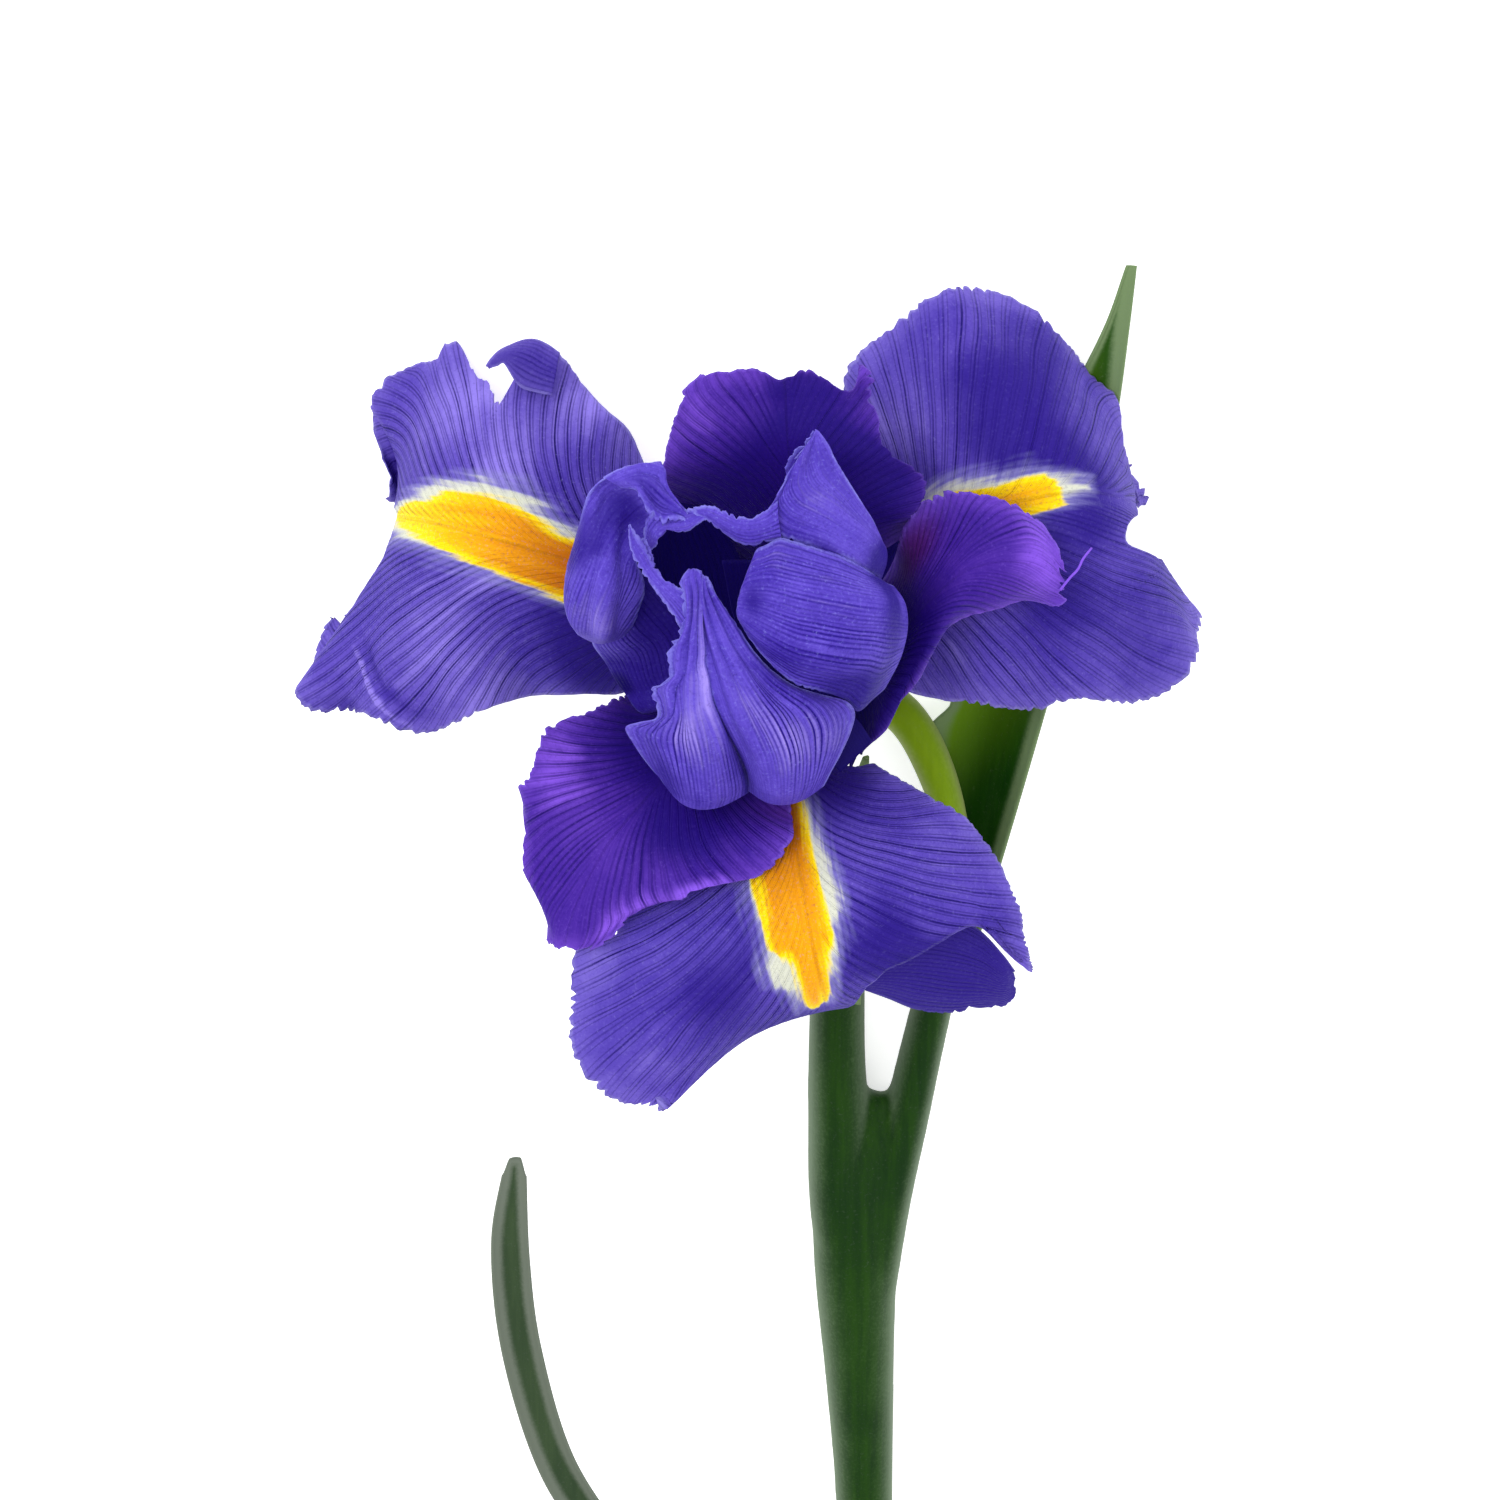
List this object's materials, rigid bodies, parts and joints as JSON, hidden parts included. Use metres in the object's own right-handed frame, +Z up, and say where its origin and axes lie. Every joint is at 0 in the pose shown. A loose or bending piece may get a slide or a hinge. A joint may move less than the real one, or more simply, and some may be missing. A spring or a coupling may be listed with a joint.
{
  "type": "iris flower",
  "caption": "Cut iris in bloom on a leafy stem, lying down: drooping falls, cupped standards, crested style arms over the throat, and green spathes.",
  "frame": {"origin": "centre of the bounding box's base, on the table", "axes": "+Z up from the table, +Y from the stem's cut end towards the bloom, +X to the right seen from above with the bloom at the top"},
  "size_m": [0.1072, 0.2548, 0.0549],
  "materials": {
    "falls": "satin blue-violet petal, finely veined",
    "standards": "velvety deep purple petal",
    "style_arms": "satin light violet petal",
    "stamens": "matt cream filament and anther",
    "ovary": "smooth yellow-green stalk",
    "stem": "waxy mid-green stem",
    "spathes": "waxy green bract",
    "leaf": "dull grey-green leaf"
  },
  "bodies": {
    "root": {"fall_left": "falls", "fall_right": "falls", "fall_bottom": "falls", "standard_left": "standards", "standard_right": "standards", "standard_top": "standards", "style_arm_left": "style_arms", "style_arm_right": "style_arms", "style_arm_bottom": "style_arms", "stamen_left": "stamens", "stamen_right": "stamens", "stamen_bottom": "stamens", "ovary": "ovary", "stem": "stem", "spathe_outer": "spathes", "spathe_inner": "spathes", "leaf": "leaf"}
  },
  "joints": []
}
